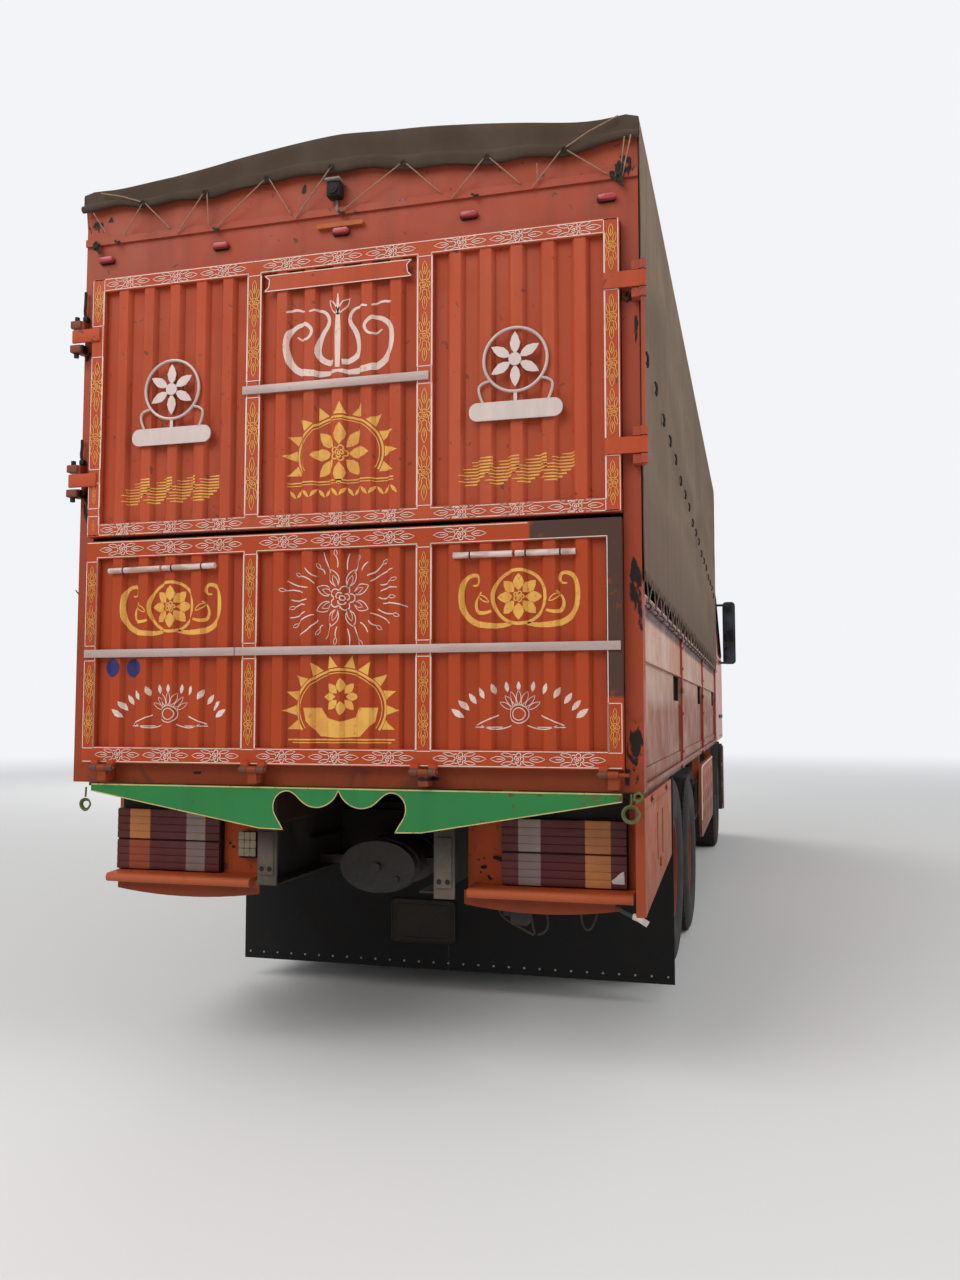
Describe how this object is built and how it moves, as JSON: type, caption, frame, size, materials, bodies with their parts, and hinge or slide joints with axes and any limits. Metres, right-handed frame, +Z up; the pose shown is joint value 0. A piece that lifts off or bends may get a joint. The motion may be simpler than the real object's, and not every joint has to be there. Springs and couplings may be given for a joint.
{
  "type": "decorated three-axle rigid truck",
  "caption": "Decorated cab-over truck with a high sided tarpaulin covered body, ornamented rear gates, lifted tag axle, steered front wheels, opening gates and doors, tilting cab.",
  "frame": {"origin": "on the ground, under the middle of the whole truck", "axes": "+Y forward along the truck, +X to its right, +Z up"},
  "size_m": [2.846, 9.936, 3.9998],
  "materials": {
    "frame_black": "worn satin black paint with road dust",
    "cast_grey": "rough casting, oily",
    "tank_aluminium": "dull brushed aluminium",
    "body_orange": "orange red gloss paint, faded and scuffed",
    "gate_orange": "orange red gloss paint with painted ornaments",
    "cab_orange": "orange red gloss paint",
    "valance_green": "green gloss paint with a pale yellow edge",
    "tarpaulin_cloth": "heavy waxed canvas, brown, dusty",
    "flap_rubber": "smooth black rubber sheet",
    "lens_red": "ribbed lamp plastic in red, amber and white stripes",
    "lamp_glass": "clear moulded lamp cover",
    "window_glass": "lightly tinted glass",
    "trim_black": "grained black plastic",
    "seat_cloth": "woven dark grey seat cloth",
    "tyre": "road tyre, dusty side walls",
    "rim_paint": "silver grey wheel paint, dusty"
  },
  "bodies": {
    "chassis": {"chassis_rails": "frame_black", "cross_members": "frame_black", "propeller_shaft": "frame_black", "leaf_springs": "frame_black", "engine": "cast_grey", "front_axle": "cast_grey", "drive_axle": "frame_black", "tag_axle": "frame_black", "fuel_tank": "tank_aluminium", "air_tanks": "frame_black", "silencer": "frame_black", "bed": "body_orange", "side_walls": "body_orange", "front_wall": "body_orange", "rear_frame": "body_orange", "roof_bows": "frame_black", "body_pillars": "frame_black", "tarpaulin": "tarpaulin_cloth", "valance": "valance_green", "lamp_boxes": "body_orange", "rear_lamps": "lens_red", "mud_flaps": "flap_rubber", "side_lockers": "body_orange", "side_skirts": "body_orange", "bumper": "cab_orange", "head_lamps": "lamp_glass", "steps": "frame_black"},
    "cab": {"cab_floor": "cab_orange", "cab_shell": "cab_orange", "cab_roof": "cab_orange", "windscreen": "window_glass", "grille": "trim_black", "seats": "seat_cloth", "dashboard": "trim_black", "steering_wheel": "trim_black"},
    "door_left": {"door_left": "cab_orange", "door_glass_left": "window_glass", "mirror_left": "trim_black"},
    "door_right": {"door_right": "cab_orange", "door_glass_right": "window_glass", "mirror_right": "trim_black"},
    "knuckle_left": {"knuckle_left": "frame_black"},
    "knuckle_right": {"knuckle_right": "frame_black"},
    "tie_rod": {"tie_rod": "frame_black"},
    "front_wheel_left": {"front_tyre_left": "tyre", "front_rim_left": "rim_paint"},
    "front_wheel_right": {"front_tyre_right": "tyre", "front_rim_right": "rim_paint"},
    "drive_wheel_left": {"drive_tyre_left": "tyre", "drive_rim_left": "rim_paint"},
    "drive_wheel_right": {"drive_tyre_right": "tyre", "drive_rim_right": "rim_paint"},
    "tag_wheel_left": {"tag_tyre_left": "tyre", "tag_rim_left": "rim_paint"},
    "tag_wheel_right": {"tag_tyre_right": "tyre", "tag_rim_right": "rim_paint"},
    "upper_gate": {"upper_gate": "gate_orange"},
    "lower_gate": {"lower_gate": "gate_orange"}
  },
  "joints": [
    {"name": "cab_tilt", "type": "hinge", "parent": "chassis", "child": "cab", "pos_m": [0, 4.868, 0.75], "axis": [-1, 0, 0], "range_deg": [0, 60]},
    {"name": "door_left_hinge", "type": "hinge", "parent": "cab", "child": "door_left", "pos_m": [-1.238, 4.534, 2.1], "axis": [0, 0, -1], "range_deg": [0, 75]},
    {"name": "door_right_hinge", "type": "hinge", "parent": "cab", "child": "door_right", "pos_m": [1.238, 4.534, 2.1], "axis": [0, 0, 1], "range_deg": [0, 75]},
    {"name": "steer_left", "type": "hinge", "parent": "chassis", "child": "knuckle_left", "pos_m": [-0.87, 3.518, 0.535], "axis": [0, 0, 1], "range_deg": [-38, 38]},
    {"name": "steer_right", "type": "hinge", "parent": "chassis", "child": "knuckle_right", "pos_m": [0.87, 3.518, 0.535], "axis": [0, 0, 1], "range_deg": [-38, 38]},
    {"name": "tie_rod_pin", "type": "hinge", "parent": "knuckle_left", "child": "tie_rod", "pos_m": [-0.87, 3.298, 0.418], "axis": [0, 0, 1], "range_deg": [-38, 38]},
    {"name": "front_wheel_left_spin", "type": "hinge", "parent": "knuckle_left", "child": "front_wheel_left", "pos_m": [-1.06, 3.518, 0.535], "axis": [1, 0, 0], "continuous": true},
    {"name": "front_wheel_right_spin", "type": "hinge", "parent": "knuckle_right", "child": "front_wheel_right", "pos_m": [1.06, 3.518, 0.535], "axis": [1, 0, 0], "continuous": true},
    {"name": "drive_wheel_left_spin", "type": "hinge", "parent": "chassis", "child": "drive_wheel_left", "pos_m": [-1.06, -1.282, 0.535], "axis": [1, 0, 0], "continuous": true},
    {"name": "drive_wheel_right_spin", "type": "hinge", "parent": "chassis", "child": "drive_wheel_right", "pos_m": [1.06, -1.282, 0.535], "axis": [1, 0, 0], "continuous": true},
    {"name": "tag_wheel_left_spin", "type": "hinge", "parent": "chassis", "child": "tag_wheel_left", "pos_m": [-1.06, -2.632, 0.615], "axis": [1, 0, 0], "continuous": true},
    {"name": "tag_wheel_right_spin", "type": "hinge", "parent": "chassis", "child": "tag_wheel_right", "pos_m": [1.06, -2.632, 0.615], "axis": [1, 0, 0], "continuous": true},
    {"name": "upper_gate_hinge", "type": "hinge", "parent": "chassis", "child": "upper_gate", "pos_m": [1.268, -4.927, 2.88], "axis": [0, 0, 1], "range_deg": [0, 230]},
    {"name": "lower_gate_hinge", "type": "hinge", "parent": "chassis", "child": "lower_gate", "pos_m": [0, -4.954, 1.29], "axis": [1, 0, 0], "range_deg": [0, 175]}
  ],
  "couplings": [
    {"joint": "steer_right", "follows": "steer_left", "ratio": 1},
    {"joint": "tie_rod_pin", "follows": "steer_left", "ratio": -1}
  ]
}
